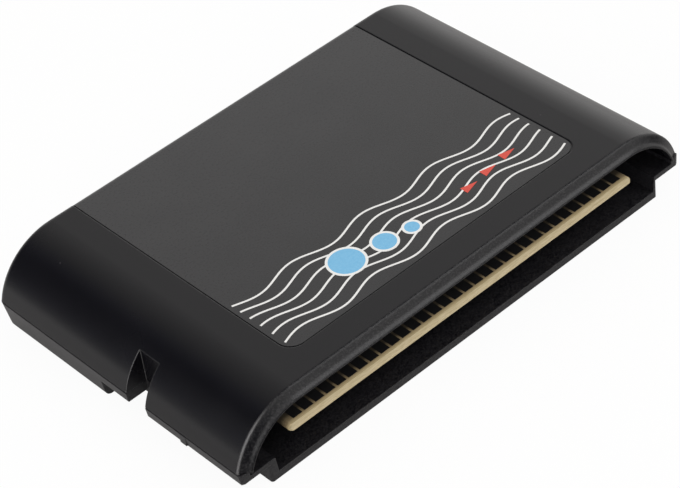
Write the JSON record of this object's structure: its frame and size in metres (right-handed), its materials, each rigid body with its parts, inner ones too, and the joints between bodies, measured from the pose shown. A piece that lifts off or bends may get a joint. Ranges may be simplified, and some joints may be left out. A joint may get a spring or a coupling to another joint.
{
  "type": "game cartridge",
  "caption": "Flat black plug-in game cartridge: two-shell plastic case with rounded ends, a labelled face, a lock notch and a board tongue with edge contacts in its open mouth.",
  "frame": {"origin": "middle of the underside, where it lies on a table", "axes": "+X along the mouth to the right end, +Y from the mouth to the spine, +Z out of the labelled face"},
  "size_m": [0.1084, 0.0676, 0.0165],
  "materials": {
    "case_plastic": "black moulded plastic with a fine even grain",
    "label_paper": "dark grey matte printed label",
    "board_laminate": "bare tan laminate with a sawn edge",
    "contact_carbon": "matte black printed carbon",
    "package_plastic": "black moulded epoxy",
    "tinned_leads": "tinned metal",
    "capacitor_can": "drawn aluminium can",
    "capacitor_ceramic": "unglazed brown ceramic",
    "resistor_ceramic": "black film on ceramic",
    "screw_steel": "zinc plated steel"
  },
  "bodies": {
    "root": {"front_shell": "case_plastic", "rear_shell": "case_plastic", "label": "label_paper", "circuit_board": "board_laminate", "upper_contacts": "contact_carbon", "lower_contacts": "contact_carbon", "memory_chip": "package_plastic", "memory_chip_leads": "tinned_leads", "logic_chip": "package_plastic", "logic_chip_leads": "tinned_leads", "supply_capacitor": "capacitor_can", "supply_capacitor_leads": "tinned_leads", "bypass_capacitors": "capacitor_ceramic", "pull_up_resistors": "resistor_ceramic", "shell_screws": "screw_steel"}
  },
  "joints": []
}
